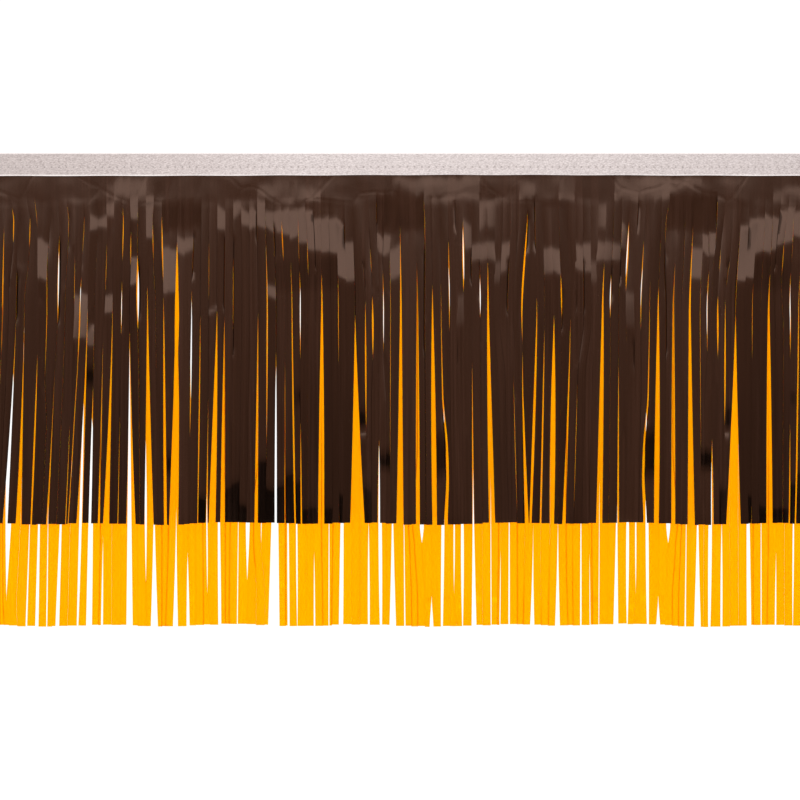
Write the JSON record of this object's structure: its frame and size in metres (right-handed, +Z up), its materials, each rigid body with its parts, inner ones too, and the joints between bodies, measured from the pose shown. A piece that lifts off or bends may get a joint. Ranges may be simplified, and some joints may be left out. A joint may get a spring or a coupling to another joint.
{
  "type": "two-ply vinyl strip fringe on a heading tape",
  "caption": "Cut length of hanging fringe: a short black ply over a longer orange ply of glossy vinyl film, slit into narrow strands and sewn into a folded cloth tape along the top.",
  "frame": {"origin": "middle of the top edge of the folded heading tape, midway between its two faces", "axes": "+X along the trim, +Z up, and the front with the shorter black ply faces -Y"},
  "size_m": [0.7112, 0.02, 0.3803],
  "materials": {
    "heading_tape": "pale grey woven tape, matt",
    "black_vinyl": "glossy warm black film",
    "orange_vinyl": "glossy orange-yellow film"
  },
  "bodies": {
    "root": {"heading_tape": "heading_tape", "black_ply": "black_vinyl", "orange_ply": "orange_vinyl"}
  },
  "joints": []
}
